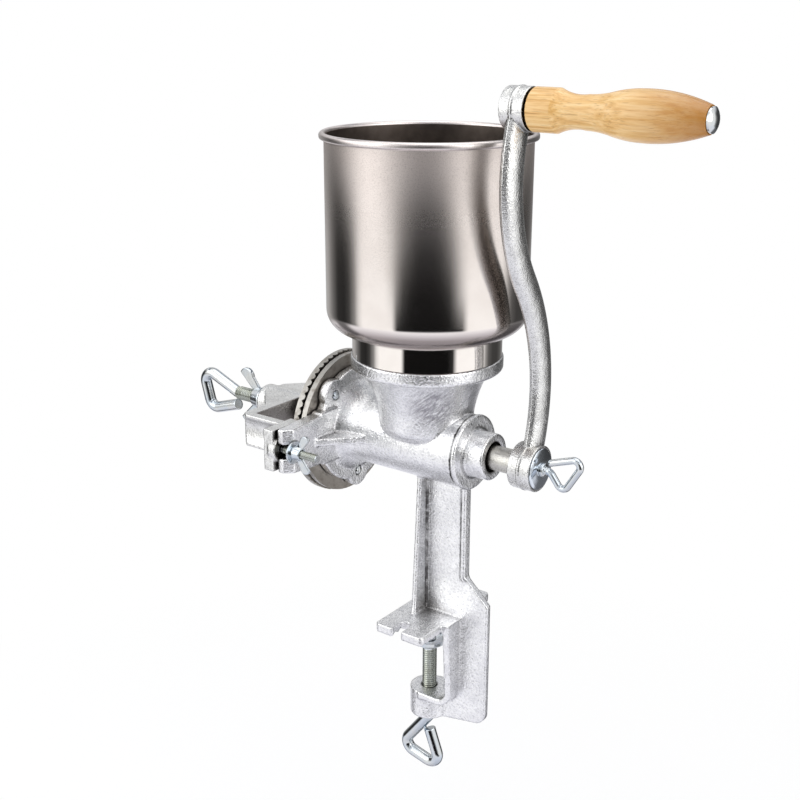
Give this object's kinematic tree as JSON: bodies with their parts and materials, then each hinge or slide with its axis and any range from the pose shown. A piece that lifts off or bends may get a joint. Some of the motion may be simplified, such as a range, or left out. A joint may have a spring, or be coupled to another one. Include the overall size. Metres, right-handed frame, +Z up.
{
  "type": "hand crank grinder",
  "caption": "Clamp-on hand crank grain and nut grinder: tall hopper, feed screw, toothed burrs under an adjustable yoke, and a crank with a wooden grip.",
  "frame": {"origin": "on the hopper's axis, in the plane of the clamp jaw's underside, which rests on the table", "axes": "+Z up along the hopper's axis, +X along the shaft from the burrs to the crank, +Y to the far side"},
  "size_m": [0.4026, 0.157, 0.4826],
  "materials": {
    "tinned_iron": "satin tinned casting",
    "crank_iron": "grainy tinned casting",
    "hopper_steel": "satin stainless",
    "machined_iron": "tinned, turned ends",
    "burr_iron": "ground teeth",
    "ball_steel": "polished",
    "zinc_steel": "bright zinc plate",
    "wood": "clear varnish"
  },
  "bodies": {
    "frame": {"body_casting": "tinned_iron", "fixed_burr": "burr_iron", "burr_rivet_bottom": "zinc_steel", "burr_rivet_near": "zinc_steel", "burr_rivet_far": "zinc_steel", "yoke": "tinned_iron", "yoke_bolt_near": "zinc_steel", "yoke_bolt_far": "zinc_steel"},
    "hopper": {"hopper": "hopper_steel"},
    "thrust": {"thrust_ball": "ball_steel"},
    "adjuster": {"adjusting_screw": "zinc_steel"},
    "rotor": {"feed_screw": "machined_iron", "burr_carrier": "tinned_iron", "rotary_burr": "burr_iron", "drive_pin": "zinc_steel", "crank_arm": "crank_iron", "handle_spindle": "zinc_steel"},
    "grip": {"handle_grip": "wood"},
    "crank_washer": {"crank_washer": "zinc_steel"},
    "crank_thumbscrew": {"crank_thumbscrew": "zinc_steel"},
    "yoke_washer_near": {"yoke_washer_near": "zinc_steel"},
    "yoke_washer_far": {"yoke_washer_far": "zinc_steel"},
    "yoke_wing_nut_near": {"yoke_wing_nut_near": "zinc_steel"},
    "yoke_wing_nut_far": {"yoke_wing_nut_far": "zinc_steel"},
    "lock_washer": {"lock_washer": "zinc_steel"},
    "lock_wing_nut": {"lock_wing_nut": "zinc_steel"},
    "clamp_pad": {"clamp_pad": "zinc_steel"},
    "clamp_screw": {"clamp_screw": "zinc_steel"}
  },
  "joints": [
    {"name": "hopper_lift", "type": "slide", "parent": "frame", "child": "hopper", "axis": [0, 0, 1], "range_m": [0, 0.06]},
    {"name": "thrust_slide", "type": "slide", "parent": "frame", "child": "thrust", "axis": [1, 0, 0], "range_m": [-0.005, 0.0006]},
    {"name": "adjusting_turn", "type": "hinge", "parent": "thrust", "child": "adjuster", "pos_m": [-0.143, 0, 0.127], "axis": [1, 0, 0], "range_deg": [-1134, 137]},
    {"name": "crank_spin", "type": "hinge", "parent": "thrust", "child": "rotor", "pos_m": [0, 0, 0.127], "axis": [1, 0, 0], "continuous": true},
    {"name": "grip_spin", "type": "hinge", "parent": "rotor", "child": "grip", "pos_m": [0.139, -0.02348, 0.34675], "axis": [1, 0, 0], "continuous": true},
    {"name": "crank_washer_slide", "type": "slide", "parent": "rotor", "child": "crank_washer", "axis": [1, 0, 0], "range_m": [0, 0.006]},
    {"name": "crank_thumbscrew_turn", "type": "hinge", "parent": "crank_washer", "child": "crank_thumbscrew", "pos_m": [0.0885, 0, 0.127], "axis": [1, 0, 0], "range_deg": [0, 2160]},
    {"name": "yoke_washer_near_slide", "type": "slide", "parent": "frame", "child": "yoke_washer_near", "axis": [1, 0, 0], "range_m": [0, 0.01]},
    {"name": "yoke_wing_nut_near_turn", "type": "hinge", "parent": "yoke_washer_near", "child": "yoke_wing_nut_near", "pos_m": [-0.0538, -0.07, 0.127], "axis": [1, 0, 0], "range_deg": [0, 4500]},
    {"name": "yoke_washer_far_slide", "type": "slide", "parent": "frame", "child": "yoke_washer_far", "axis": [1, 0, 0], "range_m": [0, 0.01]},
    {"name": "yoke_wing_nut_far_turn", "type": "hinge", "parent": "yoke_washer_far", "child": "yoke_wing_nut_far", "pos_m": [-0.0538, 0.07, 0.127], "axis": [1, 0, 0], "range_deg": [0, 4500]},
    {"name": "lock_washer_slide", "type": "slide", "parent": "frame", "child": "lock_washer", "axis": [-1, 0, 0], "range_m": [0, 0.003]},
    {"name": "lock_nut_turn", "type": "hinge", "parent": "lock_washer", "child": "lock_wing_nut", "pos_m": [-0.145, 0, 0.127], "axis": [-1, 0, 0], "range_deg": [0, 681]},
    {"name": "clamp_slide", "type": "slide", "parent": "frame", "child": "clamp_pad", "axis": [0, 0, 1], "range_m": [-0.0265, 0.0015]},
    {"name": "clamp_turn", "type": "hinge", "parent": "clamp_pad", "child": "clamp_screw", "pos_m": [0.0046, 0, -0.0172], "axis": [0, 0, 1], "range_deg": [-6010, 341]}
  ],
  "couplings": [
    {"joint": "adjusting_turn", "follows": "thrust_slide", "rad_per_m": 3957.9},
    {"joint": "crank_thumbscrew_turn", "follows": "crank_washer_slide", "rad_per_m": 6283.2},
    {"joint": "yoke_wing_nut_near_turn", "follows": "yoke_washer_near_slide", "rad_per_m": 7854},
    {"joint": "yoke_wing_nut_far_turn", "follows": "yoke_washer_far_slide", "rad_per_m": 7854},
    {"joint": "lock_nut_turn", "follows": "lock_washer_slide", "rad_per_m": 3957.9},
    {"joint": "clamp_turn", "follows": "clamp_slide", "rad_per_m": 3957.9}
  ]
}
